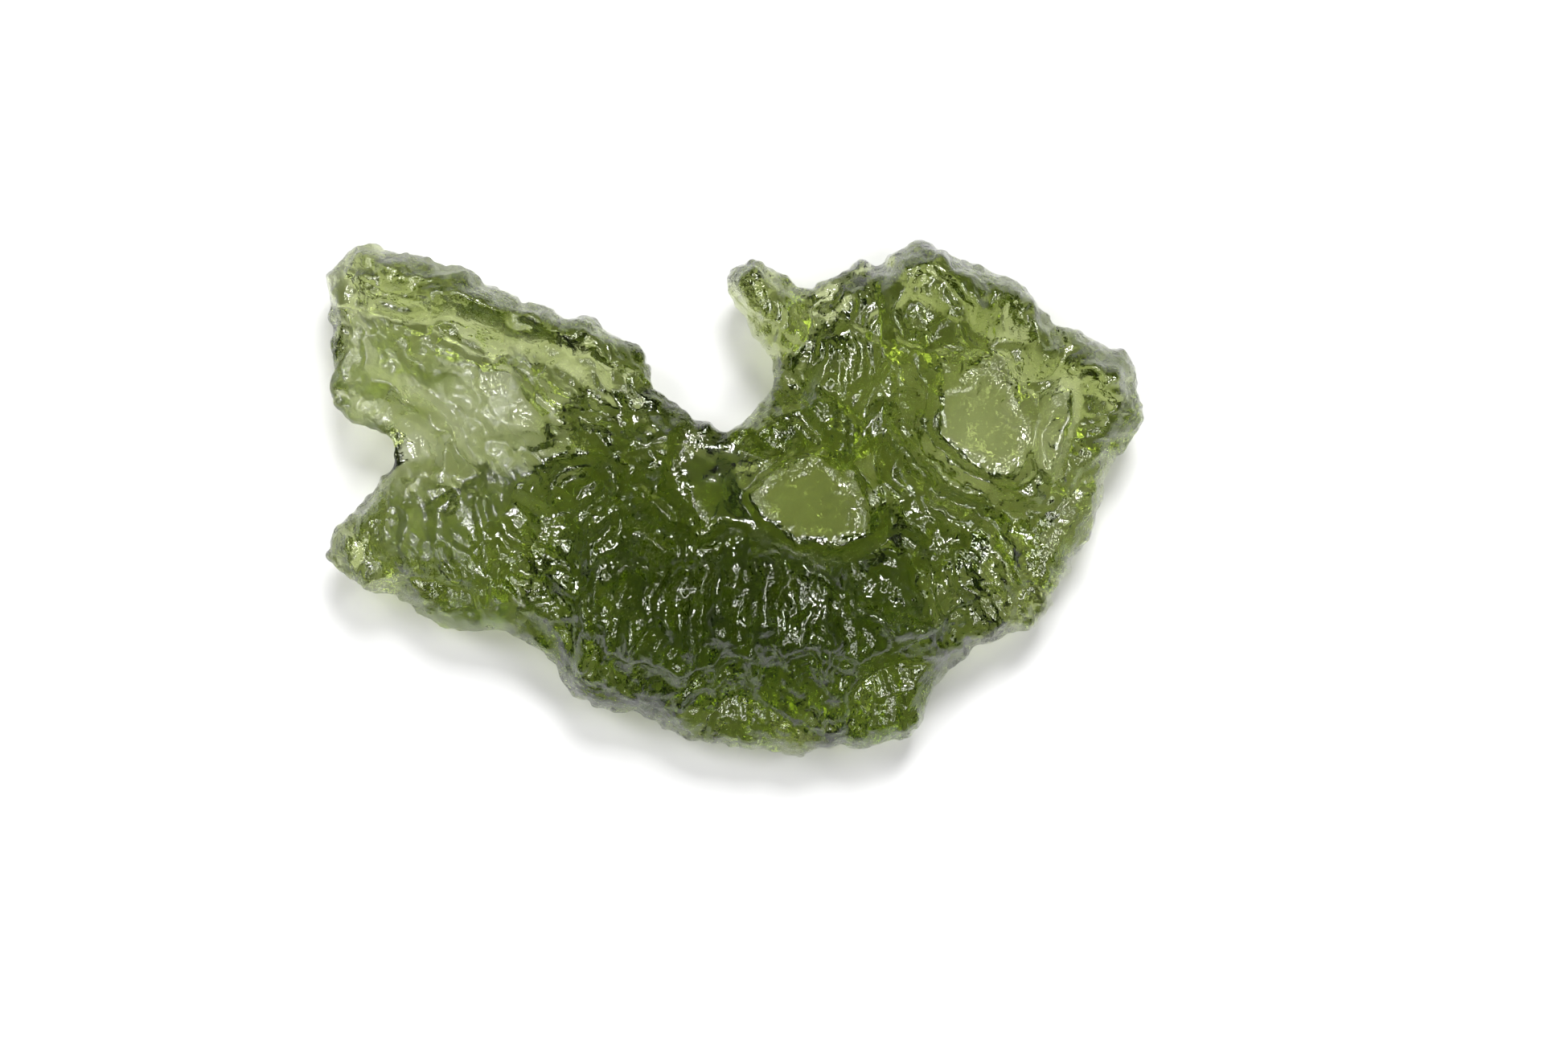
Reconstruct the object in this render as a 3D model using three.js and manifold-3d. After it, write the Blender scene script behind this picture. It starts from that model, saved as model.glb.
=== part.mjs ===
// Moldavite: one piece of green natural glass, 32 mm long, lying on its back.
// Millimetres, +Z up. The origin is on the floor, under the middle of the stone's outline.
// The stone is two height fields, an upper and a lower face, that meet at a rounded rim.
// Each face is a broad swelling form with basins, scoops, crests, ledges and flutes in it.

import * as THREE from 'three';
import Module from 'manifold-3d';

// Driving dimensions
const STONE_LENGTH = 32; // along X, over the outline below
const GRID = 0.5; // spacing of the surface points
const OUTLINE_STEPS = 900; // short straight pieces that the outline is measured with
const SNAP = 0.35; // share of the grid within which a point moves onto the outline
const RIM_ROUND = 1.0; // how far in the rounding of the rim itself reaches
const EDGE_TAPER = 3.0; // how far in the stone goes on growing thicker
const TAPER_SHARE = 0.35; // share of the thickness that the taper gives
const RIM_LEVEL = 2.7; // height of the rim above the floor
const RIM_WAVE = 0.45; // how much the rim rises and falls along the outline
const FLANGE_RIM_LEVEL = 1.9; // the same on the low flanges
const FLANGE_TOP = 4.5; // upper face of the low flanges
const FLANGE_SAG = 0.8; // how much lower the flanges' under side is
const FLANGE_STEP = 0.8; // width of the step from the plate down to a flange
const LEDGE_STEP = 0.7; // width of the slope of a ledge
const TOP_LEVEL = 4.4; // upper face before anything is worked into it
const UNDER_LEVEL = 1.2; // lower face before anything is worked into it
const BELLY_LEVEL = -0.4; // how far the belly reaches below the floor before it is ground flat
const LEAST_THICKNESS = 0.8;
const WALL_BEND = 5; // how sharply the floor of a basin turns up into its wall
const CREST_SOFTNESS = 0.1; // rounding where two scoops meet

// Flutes: small long scoops scattered over a face
const TOP_FLUTES = { pitch: 1.35, length: 1.25, width: 0.72, depth: 0.42, seed: 1 };
const UNDER_FLUTES = { pitch: 2.1, length: 1.7, width: 1.25, depth: 0.5, seed: 2 };
const FLUTE_JITTER = 0.7; // share of the pitch that a flute may be off its grid place

// Outline seen from above, clockwise from the upper left wing tip
const OUTLINE = [
  [-16.1, 8.0], [-15.6, 9.3], [-14.4, 10.0], [-13.2, 9.6], [-12.4, 9.4], [-11.4, 8.9], [-10.6, 8.9],
  [-9.3, 8.1], [-8.0, 7.5], [-7.3, 7.4], [-6.8, 7.0], [-5.9, 7.1], [-4.8, 6.3], [-3.9, 5.8],
  [-3.3, 4.5], [-2.4, 3.5], [-1.5, 3.0], [-0.6, 2.7], [0.1, 2.9], [0.9, 3.9], [1.4, 5.0],
  [1.1, 5.8], [0.3, 7.0], [-0.4, 8.3], [-0.1, 9.0], [0.9, 9.4], [1.6, 8.9], [2.4, 8.3],
  [3.4, 8.3], [4.7, 9.2], [5.6, 8.9], [6.2, 9.6], [7.2, 10.0], [8.2, 9.6], [9.6, 9.1],
  [10.9, 8.5], [11.7, 7.5], [12.5, 6.7], [14.2, 6.2], [15.4, 5.5], [15.7, 4.3], [16.0, 2.9],
  [15.3, 2.0], [14.5, 1.0], [14.3, -0.1], [13.8, -1.7], [13.1, -2.6], [12.5, -3.8], [11.6, -5.0],
  [10.4, -5.3], [9.1, -6.1], [8.2, -6.9], [7.6, -8.0], [7.2, -9.1], [6.3, -9.5], [4.6, -10.0],
  [3.9, -9.8], [2.4, -10.1], [0.6, -9.9], [-1.4, -9.6], [-2.6, -9.1], [-3.9, -8.5], [-5.0, -8.4],
  [-6.4, -7.8], [-7.0, -6.9], [-8.3, -5.8], [-9.4, -5.3], [-10.8, -5.2], [-12.2, -4.8], [-13.2, -3.9],
  [-14.6, -3.5], [-15.9, -2.6], [-15.8, -1.3], [-14.8, -0.3], [-13.9, 0.7], [-13.4, 1.7], [-14.0, 2.6],
  [-15.3, 3.0], [-15.8, 4.0], [-15.9, 5.6], [-15.9, 6.8],
];

// Edge of the upper plate. Where it runs inside the outline, a low flange shows outside it.
const PLATE_EDGE = [
  [-18.0, -4.2], [-14.0, -3.5], [-12.0, -3.3], [-10.8, -3.5], [-9.7, -4.6], [-8.4, -5.5], [-6.9, -6.7],
  [-6.0, -7.5], [-4.9, -8.0], [-3.2, -8.5], [-1.4, -9.0], [-0.5, -7.9], [1.4, -8.2], [2.4, -8.9],
  [4.0, -9.0], [4.6, -7.2], [5.8, -6.5], [8.3, -6.3], [9.6, -5.7], [10.6, -4.6], [10.9, -3.6],
  [11.6, -3.1], [11.1, -1.8], [11.2, -1.1], [12.2, -0.3], [13.2, 0.6], [14.6, 1.4], [18.0, 1.0],
  [19.0, 12.0], [-19.0, 12.0],
];

// Swellings: middle x, y, half length, half width, turn in degrees, height
const TOP_SWELLS = [
  [0.6, -4.4, 8.8, 3.7, -6, 2.6], // thick body
  [0.2, 2.4, 5.5, 1.6, 0, 0.9], // shoulder under the notch
  [3.6, 5.0, 2.4, 3.2, 12, 0.7], // neck right of the notch
  [9.4, 8.0, 4.8, 1.9, -22, 2.2], // comb
  [14.4, 4.2, 1.5, 2.6, 10, 1.3], // lumps at the right end
  [-10.2, 7.9, 5.5, 1.3, -20, 1.9], // upper band of the wing
  [-15.2, 4.6, 1.1, 2.6, 0, 0.5], // worn end of the wing
  [-12.8, -2.0, 3.2, 1.7, -22, 1.1], // lower wing
  [0.3, 8.2, 1.6, 1.9, 20, 1.4], // tip beside the notch
  [-9.8, 2.6, 4.4, 2.8, -10, -0.5], // sunken middle of the wing
  [-5.4, -1.6, 2.6, 2.2, 0, 0.6], // shoulder left of the pit
  [-0.6, 0.8, 2.4, 1.8, -18, 0.9], // around the dark half of the bowl
  [12.6, 0.6, 2.0, 3.4, 0, 0.8], // right of the dish
];
const UNDER_SWELLS = [
  [0.6, -1.4, 10.0, 6.4, -4, 2.4], // belly that the stone rests on
  [-12.4, -2.4, 3.0, 1.8, -20, 0.4], // lower wing
  [-9.6, 7.4, 4.6, 1.4, -20, 0.5], // upper band of the wing
  [9.0, 8.0, 4.6, 1.6, -20, 0.5], // comb
  [14.6, 4.0, 1.4, 2.4, 10, 0.6], // lumps at the right end
  [0.4, 8.0, 1.4, 2.0, 20, 1.2], // tip beside the notch
];

// Scoops: middle x, y, half length, half width, turn in degrees, depth,
// and how softly the rim runs out, 1 for a crisp rim
const TOP_SCOOPS = [
  [5.4, 1.4, 0.9, 0.8, 0, 0.8, 1],
  [10.2, 6.7, 1.6, 1.0, 100, 0.9, 1.2], // scoop in the comb
  [7.2, 7.6, 1.3, 0.8, 70, 0.6, 1],
  [12.4, 6.3, 0.8, 0.5, 110, 0.7, 1],
  [13.8, 5.9, 0.8, 0.5, 0, 0.6, 1],
  [14.1, 3.6, 0.6, 0.6, 0, 0.9, 1],
  [14.9, 1.9, 0.7, 0.5, 40, 0.6, 1],
  [-12.6, 2.0, 1.4, 1.0, -40, 0.9, 1.2], // hollow beside the fold
  [-15.0, 4.2, 0.7, 0.6, 0, 0.8, 1],
  [-9.4, 4.2, 3.8, 2.0, -24, 1.0, 1.5], // shelf of the wing
  [-6.7, 4.3, 1.3, 0.9, 80, 0.7, 1],
  [-11.8, 6.5, 2.0, 0.7, -16, 0.4, 1],
  [3.2, 7.0, 1.5, 0.9, -10, 0.7, 1],
  [2.6, 4.2, 1.1, 0.8, 70, 0.6, 1],
  [4.8, 3.9, 1.2, 0.9, 70, 0.8, 1],
  [7.4, -3.6, 1.9, 1.4, 20, 0.8, 1],
  [12.9, -1.5, 1.1, 0.5, 80, 0.5, 1], // oval pit in the right flange
];
const UNDER_SCOOPS = [
  [-13.8, 8.2, 1.8, 1.2, -10, 0.6, 1],
  [3.2, 6.6, 1.8, 1.4, 60, 0.6, 1],
  [10.2, -3.2, 2.2, 1.5, 40, 0.7, 1],
  [-7.6, -3.2, 2.2, 1.5, 30, 0.6, 1],
  [-2.6, -7.4, 2.0, 1.1, -25, 0.4, 1],
];

// Basins with a smooth flat floor: middle x, y, half length, half width, turn in degrees,
// level of the floor, and how far the wall has risen at the oval's edge
const TOP_BASINS = [
  [3.1, -0.4, 3.0, 2.1, -14, 4.0, 1.6], // bright right half of the central bowl
  [-0.2, 0.4, 3.1, 2.1, -18, 4.4, 1.6], // dark left half of the central bowl
  [9.6, 3.1, 3.0, 2.2, 104, 3.2, 1.4], // right dish
  [12.3, 2.6, 2.0, 0.8, 80, 2.8, 1.0], // pale lens beside the dish
  [-10.6, 1.9, 2.9, 1.3, 34, 4.0, 0.8], // pale basin of the wing, out to the side notch
];
const UNDER_BASINS = [
  [3.2, -0.1, 3.3, 2.4, -14, 1.6, 1.4], // below the bright half of the bowl
  [10.1, 3.0, 3.2, 2.6, 95, 1.5, 1.2], // below the dish
  [-10.0, 3.2, 4.4, 2.4, -14, 2.0, 1.2], // below the wing
  [-12.4, 0.8, 2.0, 1.6, 40, 2.0, 1.2], // below the corner at the side notch
  [12.8, -1.2, 1.6, 1.0, 75, 1.5, 1.0], // below the right flange
];

// Crests, and valleys where the height is less than 0: height, half width, points
const TOP_CRESTS = [
  [0.6, 0.4, [[6.4, 1.9], [7.5, 0.6], [8.0, -0.1], [9.0, -0.5], [10.2, -1.1]]], // outside the dish
  [-0.6, 0.4, [[6.2, 5.3], [6.6, 2.7], [8.4, 0.4], [10.5, -0.9]]], // valley round the dish
  [0.6, 0.45, [[7.4, 4.7], [7.9, 3.4], [8.8, 2.3], [9.8, 1.1], [11.3, 0.2]]], // rim of the dish
  [0.5, 0.4, [[11.9, 5.4], [12.9, 5.0], [14.5, 4.9]]],
  [-0.6, 0.3, [[8.2, 7.9], [9.3, 6.2], [9.9, 5.8], [11.1, 5.9]]], // line round the scoop in the comb
  [-0.5, 0.35, [[5.6, 8.9], [4.8, 8.3], [4.0, 7.8], [3.0, 7.6]]],
  [0.5, 0.4, [[6.1, 9.0], [6.6, 7.9], [6.4, 6.9]]],
  [0.8, 0.5, [[-13.9, 4.3], [-12.5, 3.5], [-11.8, 2.6], [-11.3, 1.6], [-10.6, 0.6]]], // fold of the wing
  [-0.5, 0.3, [[-12.9, 4.7], [-11.7, 3.5], [-10.9, 2.3], [-10.2, 1.5]]], // line along the fold
  [0.5, 0.35, [[-9.0, 5.1], [-8.0, 4.4], [-7.4, 3.2], [-7.2, 2.3]]],
  [0.9, 0.4, [[-4.9, 0.9], [-4.1, -0.2], [-3.4, -1.0], [-2.5, -1.4]]], // bright band in the pit
  [0.9, 0.4, [[-3.3, 0.4], [-2.5, 0.0], [-1.6, -0.7], [-1.0, -1.5]]], // between pit and bowl
  [0.5, 0.5, [[-4.4, -2.9], [-1.2, -2.5], [1.0, -2.7], [3.0, -3.0], [5.4, -2.4], [6.0, -0.6]]],
  [0.4, 0.4, [[-6.8, 0.9], [-4.9, 1.2], [-3.4, 2.6]]],
  [0.5, 0.3, [[-2.6, -2.8], [-2.8, -4.7]]], // long ribs below the bowl
  [0.5, 0.35, [[-0.7, -3.1], [-0.8, -5.3]]],
  [0.5, 0.3, [[-1.7, -4.2], [-1.9, -5.8]]],
  [0.5, 0.3, [[1.4, -2.5], [1.2, -5.1]]],
  [0.5, 0.3, [[-5.2, -2.8], [-5.4, -4.1]]],
  [0.5, 0.3, [[-6.0, -4.2], [-6.1, -6.6]]],
  [0.5, 0.3, [[-4.1, -4.7], [-4.1, -6.3]]],
  [0.5, 0.35, [[1.9, -2.3], [3.3, -3.2], [4.8, -4.1], [6.1, -5.3]]],
  [0.5, 0.3, [[3.1, -5.7], [3.7, -6.3], [4.9, -6.5]]],
];
const UNDER_CRESTS = [
  [0.4, 0.6, [[-15.0, 1.2], [-11.0, 1.0], [-7.5, 0.2]]],
  [0.4, 0.6, [[6.4, 7.8], [7.0, 4.6], [6.4, 2.4]]],
  [0.4, 0.6, [[8.6, -1.0], [11.6, -1.4], [12.6, -3.0]]],
];

// Ledges: rise, how far the raised side fades back, points with the raised side on their left
const TOP_LEDGES = [
  [0.8, 2.4, [[-14.6, 7.3], [-11.5, 6.9], [-9.3, 6.5], [-8.2, 6.0], [-6.4, 5.8], [-4.8, 5.2]]],
  [0.6, 1.6, [[4.6, 6.5], [5.4, 6.2], [6.6, 6.2], [7.9, 5.9]]],
  [0.6, 2.0, [[-5.0, -5.8], [-2.5, -6.8], [0.6, -6.6], [3.3, -5.7], [5.0, -6.4], [7.9, -4.9]]],
];

// A number from 0 to 1 that is fixed for each place of the scattering grid
function chance(column, row, seed) {
  const wave = Math.sin(column * 127.1 + row * 311.7 + seed * 74.7) * 43758.5453;
  return wave - Math.floor(wave);
}

// Square of the distance from an oval's middle, 1 at its edge
function ovalDistance(x, y, [middleX, middleY, halfLength, halfWidth, turn]) {
  const angle = THREE.MathUtils.degToRad(turn);
  const along = (x - middleX) * Math.cos(angle) + (y - middleY) * Math.sin(angle);
  const across = (y - middleY) * Math.cos(angle) - (x - middleX) * Math.sin(angle);
  return (along / halfLength) ** 2 + (across / halfWidth) ** 2;
}

// Nearest point of a chain of points: its distance, place, and the side of the chain, +1 on the left
function nearestOnChain(x, y, chain, closed) {
  const best = { distance: Infinity, x: 0, y: 0, side: 1 };
  const pieces = closed ? chain.length : chain.length - 1;
  for (let i = 0; i < pieces; i++) {
    const [ax, ay] = chain[i];
    const [bx, by] = chain[(i + 1) % chain.length];
    const length2 = (bx - ax) ** 2 + (by - ay) ** 2;
    const share = THREE.MathUtils.clamp(((x - ax) * (bx - ax) + (y - ay) * (by - ay)) / length2, 0, 1);
    const footX = ax + share * (bx - ax);
    const footY = ay + share * (by - ay);
    const distance = Math.hypot(x - footX, y - footY);
    if (distance < best.distance) {
      const turn = (bx - ax) * (y - ay) - (by - ay) * (x - ax);
      Object.assign(best, { distance, x: footX, y: footY, side: Math.sign(turn) || 1 });
    }
  }
  return best;
}

function isInside(x, y, loop) {
  let inside = false;
  loop.forEach(([ax, ay], i) => {
    const [bx, by] = loop[(i + 1) % loop.length];
    const crosses = ay > y !== by > y;
    if (crosses && x < ax + ((y - ay) / (by - ay)) * (bx - ax)) {
      inside = !inside;
    }
  });
  return inside;
}

// A smooth closed line through the points
function smoothLoop(points, steps) {
  const curve = new THREE.CatmullRomCurve3(points.map(([x, y]) => new THREE.Vector3(x, y, 0)), true);
  return curve.getPoints(steps).slice(0, steps).map((point) => [point.x, point.y]);
}

const outline = smoothLoop(OUTLINE, OUTLINE_STEPS);
const plateEdge = smoothLoop(PLATE_EDGE, OUTLINE_STEPS / 4);

// Distance in from the edge of a loop, less than 0 outside it
function depthInside(x, y, loop) {
  const { distance } = nearestOnChain(x, y, loop, true);
  return isInside(x, y, loop) ? distance : -distance;
}

// The larger of two depths, with the crest where they meet rounded off
function softMax(a, b) {
  const blend = Math.max(CREST_SOFTNESS - Math.abs(a - b), 0) / CREST_SOFTNESS;
  return Math.max(a, b) + (blend * blend * CREST_SOFTNESS) / 4;
}

// Direction that the flutes run in: away from one middle for each region of the stone
function fluteTurn(x, y) {
  let middle = [1.5, 7.5];
  if (x < -6.5) {
    middle = [-17, 10];
  } else if (y > 1 + 0.1 * x) {
    middle = x > 6 ? [9.8, 2.4] : [3.5, -3];
  }
  return THREE.MathUtils.radToDeg(Math.atan2(y - middle[1], x - middle[0]));
}

// How deep the scattered flutes cut at a place
function fluteDepth(x, y, flutes) {
  const reach = Math.ceil(flutes.length / flutes.pitch) + 1;
  const column = Math.round(x / flutes.pitch);
  const row = Math.round(y / flutes.pitch);
  let depth = 0;
  for (let i = column - reach; i <= column + reach; i++) {
    for (let j = row - reach; j <= row + reach; j++) {
      const middleX = (i + FLUTE_JITTER * (chance(i, j, flutes.seed) - 0.5)) * flutes.pitch;
      const middleY = (j + FLUTE_JITTER * (chance(j, i, flutes.seed + 3) - 0.5)) * flutes.pitch;
      const size = 0.7 + 0.6 * chance(i + 9, j, flutes.seed + 5);
      const turn = fluteTurn(middleX, middleY) + 40 * (chance(i, j + 9, flutes.seed + 7) - 0.5);
      const oval = [middleX, middleY, flutes.length * size, flutes.width * size, turn];
      depth = softMax(depth, flutes.depth * size * (1 - ovalDistance(x, y, oval)));
    }
  }
  return depth;
}

// Height that the broad relief adds to a face, and the depth that scoops and flutes cut into it
function relief(x, y, { swells, scoops, crests, ledges, flutes }) {
  let height = 0;
  for (const swell of swells) {
    height += swell[5] * Math.exp(-ovalDistance(x, y, swell));
  }
  for (const [rise, fade, chain] of ledges) {
    const { distance, side } = nearestOnChain(x, y, chain, false);
    const slope = THREE.MathUtils.smoothstep(side * distance, -LEDGE_STEP / 2, LEDGE_STEP / 2);
    height += rise * slope * Math.exp(-((distance / fade) ** 2));
  }
  for (const [rise, halfWidth, chain] of crests) {
    const { distance } = nearestOnChain(x, y, chain, false);
    height += rise * Math.exp(-((distance / halfWidth) ** 2));
  }
  let cut = 0;
  for (const scoop of scoops) {
    const [, , , , , depth, softness] = scoop;
    cut = softMax(cut, depth * Math.max(1 - ovalDistance(x, y, scoop), 0) ** softness);
  }
  return { height, cut: cut + fluteDepth(x, y, flutes) };
}

// Height of a basin's floor and wall for way 1, and of a hollow that opens downwards for way -1
function basinHeight(x, y, basin, way) {
  return basin[5] + way * basin[6] * ovalDistance(x, y, basin) ** WALL_BEND;
}

// The lowest of the surfaces of the basins, which open upwards
function basinSurface(x, y, basins) {
  return Math.min(...basins.map((basin) => basinHeight(x, y, basin, 1)));
}

// The highest of the surfaces of the hollows in the under side
function hollowSurface(x, y, basins) {
  return Math.max(...basins.map((basin) => basinHeight(x, y, basin, -1)));
}

const TOP = {
  swells: TOP_SWELLS,
  scoops: TOP_SCOOPS,
  crests: TOP_CRESTS,
  ledges: TOP_LEDGES,
  flutes: TOP_FLUTES,
};
const UNDER = {
  swells: UNDER_SWELLS,
  scoops: UNDER_SCOOPS,
  crests: UNDER_CRESTS,
  ledges: [],
  flutes: UNDER_FLUTES,
};

// A quarter circle that rises from 0 to 1
function quarterRound(share) {
  return Math.sqrt(1 - (1 - Math.min(share, 1)) ** 2);
}

// Share of a face's full height that it has this far in from an edge
function edgeRounding(inward) {
  return THREE.MathUtils.lerp(
    quarterRound(inward / RIM_ROUND), quarterRound(inward / EDGE_TAPER), TAPER_SHARE,
  );
}

// Heights of the upper and the lower face at a place this far in from the rim
function faceHeights(x, y, inward) {
  const plateInward = depthInside(x, y, plateEdge);
  const onPlate = THREE.MathUtils.smoothstep(plateInward, -FLANGE_STEP / 2, FLANGE_STEP / 2);
  const wave = RIM_WAVE * Math.sin(0.55 * x + 0.8 * y);
  const rim = THREE.MathUtils.lerp(FLANGE_RIM_LEVEL, RIM_LEVEL + wave, onPlate);
  const upper = relief(x, y, TOP);
  const lower = relief(x, y, UNDER);
  const plateTop = -softMax(upper.cut - upper.height - TOP_LEVEL, -basinSurface(x, y, TOP_BASINS));
  const flangeTop = FLANGE_TOP - 0.5 * fluteDepth(x, y, TOP_FLUTES);
  const belly = Math.max(UNDER_LEVEL - lower.height - FLANGE_SAG * (1 - onPlate), BELLY_LEVEL);
  const fullUnder = Math.min(softMax(belly + lower.cut, hollowSurface(x, y, UNDER_BASINS)), rim);
  const rounding = edgeRounding(inward);
  const plateSurface = rim + (plateTop - rim) * rounding;
  const flangeSurface = rim + (flangeTop - rim) * rounding;
  const under = rim + (fullUnder - rim) * rounding;
  const top = THREE.MathUtils.lerp(flangeSurface, plateSurface, edgeRounding(Math.max(plateInward, 0)));
  return [Math.max(top, under + LEAST_THICKNESS * rounding), under];
}

// Points and triangles of a triangular grid trimmed to the outline
function trimmedGrid() {
  const points = [];
  const rowStep = GRID * Math.sqrt(3) / 2;
  const columns = Math.ceil(STONE_LENGTH / GRID) + 6;
  const rows = Math.ceil(STONE_LENGTH * 0.65 / rowStep) + 6;
  for (let row = 0; row < rows; row++) {
    for (let column = 0; column < columns; column++) {
      let x = (column - columns / 2 + (row % 2) / 2) * GRID;
      let y = (row - rows / 2) * rowStep;
      let inward = depthInside(x, y, outline);
      if (Math.abs(inward) < SNAP * GRID) {
        ({ x, y } = nearestOnChain(x, y, outline, true));
        inward = 0;
      }
      points.push({ x, y, inward });
    }
  }
  const cuts = new Map();
  const cutBetween = (a, b) => {
    const key = a < b ? `${a} ${b}` : `${b} ${a}`;
    if (!cuts.has(key)) {
      const share = points[a].inward / (points[a].inward - points[b].inward);
      const x = THREE.MathUtils.lerp(points[a].x, points[b].x, share);
      const y = THREE.MathUtils.lerp(points[a].y, points[b].y, share);
      const foot = nearestOnChain(x, y, outline, true);
      cuts.set(key, points.push({ x: foot.x, y: foot.y, inward: 0 }) - 1);
    }
    return cuts.get(key);
  };
  const triangles = [];
  const addTrimmed = (corners) => {
    if (corners.every((corner) => points[corner].inward <= 0)) {
      return;
    }
    const kept = [];
    corners.forEach((corner, i) => {
      const next = corners[(i + 1) % 3];
      if (points[corner].inward >= 0) {
        kept.push(corner);
      }
      if (points[corner].inward * points[next].inward < 0) {
        kept.push(cutBetween(corner, next));
      }
    });
    for (let i = 2; i < kept.length; i++) {
      triangles.push([kept[0], kept[i - 1], kept[i]]);
    }
  };
  for (let row = 0; row + 1 < rows; row++) {
    for (let column = 0; column + 1 < columns; column++) {
      const here = row * columns + column;
      const above = here + columns;
      if (row % 2 === 0) {
        addTrimmed([here, here + 1, above]);
        addTrimmed([here + 1, above + 1, above]);
      } else {
        addTrimmed([here, here + 1, above + 1]);
        addTrimmed([here, above + 1, above]);
      }
    }
  }
  return { points, triangles };
}

// A grid edge with both ends on the rim but glass on both sides gets a point in its middle,
// so that the two faces stay apart there
function splitBridges(points, triangles) {
  const users = new Map();
  const edgesOf = ([a, b, c]) => [[a, b], [b, c], [c, a]];
  const keyOf = (a, b) => (a < b ? `${a} ${b}` : `${b} ${a}`);
  for (const triangle of triangles) {
    for (const [a, b] of edgesOf(triangle)) {
      users.set(keyOf(a, b), (users.get(keyOf(a, b)) || 0) + 1);
    }
  }
  const middles = new Map();
  for (const [key, count] of users) {
    const [a, b] = key.split(' ').map(Number);
    if (count === 2 && points[a].inward === 0 && points[b].inward === 0) {
      const x = (points[a].x + points[b].x) / 2;
      const y = (points[a].y + points[b].y) / 2;
      const inward = Math.max(depthInside(x, y, outline), GRID / 10);
      middles.set(key, points.push({ x, y, inward }) - 1);
    }
  }
  const divide = ([a, b, c]) => {
    const start = [[a, b, c], [b, c, a], [c, a, b]].find(([p, q]) => middles.has(keyOf(p, q)));
    if (!start) {
      return [[a, b, c]];
    }
    const [p, q, r] = start;
    const middle = middles.get(keyOf(p, q));
    return [...divide([p, middle, r]), ...divide([middle, q, r])];
  };
  return triangles.flatMap(divide);
}

// The closed surface: the upper face, and the lower face turned over, sharing their rim points
function stoneSurface() {
  const { points, triangles: trimmed } = trimmedGrid();
  const triangles = splitBridges(points, trimmed);
  const positions = [];
  const topIndex = new Map();
  const underIndex = new Map();
  for (const index of new Set(triangles.flat())) {
    const { x, y, inward } = points[index];
    const [top, under] = faceHeights(x, y, inward);
    topIndex.set(index, positions.push(x, y, top) / 3 - 1);
    underIndex.set(index, inward > 0 ? positions.push(x, y, under) / 3 - 1 : topIndex.get(index));
  }
  const upper = triangles.map((corners) => corners.map((corner) => topIndex.get(corner)));
  const lower = triangles.map(([a, b, c]) => [a, c, b].map((corner) => underIndex.get(corner)));
  return { positions, indices: [...upper, ...lower].flat() };
}

// A closed mesh as a solid that can be cut
function solidFrom(wasm, positions, indices) {
  const mesh = new wasm.Mesh({
    numProp: 3,
    vertProperties: new Float32Array(positions),
    triVerts: new Uint32Array(indices),
  });
  return new wasm.Manifold(mesh);
}

// A block under the floor, whose upper side grinds the flat spot that the stone rests on
function floorBlock(wasm) {
  const depth = 10;
  const block = new THREE.BoxGeometry(2 * STONE_LENGTH, 2 * STONE_LENGTH, depth);
  block.translate(0, 0, -depth / 2);
  const corners = new Map();
  const source = block.getAttribute('position');
  const merged = [];
  const indices = Array.from(block.getIndex().array, (index) => {
    const corner = [source.getX(index), source.getY(index), source.getZ(index)];
    const key = corner.join(' ');
    if (!corners.has(key)) {
      corners.set(key, merged.push(...corner) / 3 - 1);
    }
    return corners.get(key);
  });
  return solidFrom(wasm, merged, indices);
}

const wasm = await Module();
wasm.setup();

function moldavite() {
  const { positions, indices } = stoneSurface();
  const stone = solidFrom(wasm, positions, indices).subtract(floorBlock(wasm)).getMesh();
  const geometry = new THREE.BufferGeometry();
  geometry.setAttribute('position', new THREE.Float32BufferAttribute(stone.vertProperties, 3));
  geometry.setIndex(Array.from(stone.triVerts));
  geometry.computeBoundingBox();
  const middle = geometry.boundingBox.getCenter(new THREE.Vector3());
  geometry.translate(-middle.x, -middle.y, 0);
  geometry.computeVertexNormals();
  const glass = new THREE.MeshStandardMaterial({ color: 0x5f6d33, roughness: 0.2, metalness: 0 });
  const mesh = new THREE.Mesh(geometry, glass);
  mesh.name = 'moldavite';
  return mesh;
}

const group = new THREE.Group();
group.add(moldavite());

export default group;
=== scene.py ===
import math

import bpy
import numpy as np
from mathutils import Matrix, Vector
from mathutils.geometry import delaunay_2d_cdt


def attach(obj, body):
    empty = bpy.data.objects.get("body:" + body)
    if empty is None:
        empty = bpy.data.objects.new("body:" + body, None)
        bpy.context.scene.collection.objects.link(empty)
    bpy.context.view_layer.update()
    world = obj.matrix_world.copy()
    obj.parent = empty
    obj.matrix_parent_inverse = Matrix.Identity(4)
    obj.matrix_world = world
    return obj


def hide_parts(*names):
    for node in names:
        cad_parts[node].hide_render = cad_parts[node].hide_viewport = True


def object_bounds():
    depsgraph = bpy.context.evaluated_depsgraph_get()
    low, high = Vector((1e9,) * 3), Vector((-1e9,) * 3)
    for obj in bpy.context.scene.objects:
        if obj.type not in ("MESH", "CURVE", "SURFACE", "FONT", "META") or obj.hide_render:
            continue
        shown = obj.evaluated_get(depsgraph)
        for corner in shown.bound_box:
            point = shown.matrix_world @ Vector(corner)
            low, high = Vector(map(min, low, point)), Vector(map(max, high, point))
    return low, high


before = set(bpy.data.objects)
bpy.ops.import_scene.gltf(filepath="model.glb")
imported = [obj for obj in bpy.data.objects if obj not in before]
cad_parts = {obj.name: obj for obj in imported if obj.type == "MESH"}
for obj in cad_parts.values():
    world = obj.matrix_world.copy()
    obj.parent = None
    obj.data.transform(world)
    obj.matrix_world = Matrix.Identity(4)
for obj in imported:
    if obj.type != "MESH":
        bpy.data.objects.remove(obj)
cad_low, cad_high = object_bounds()

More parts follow.
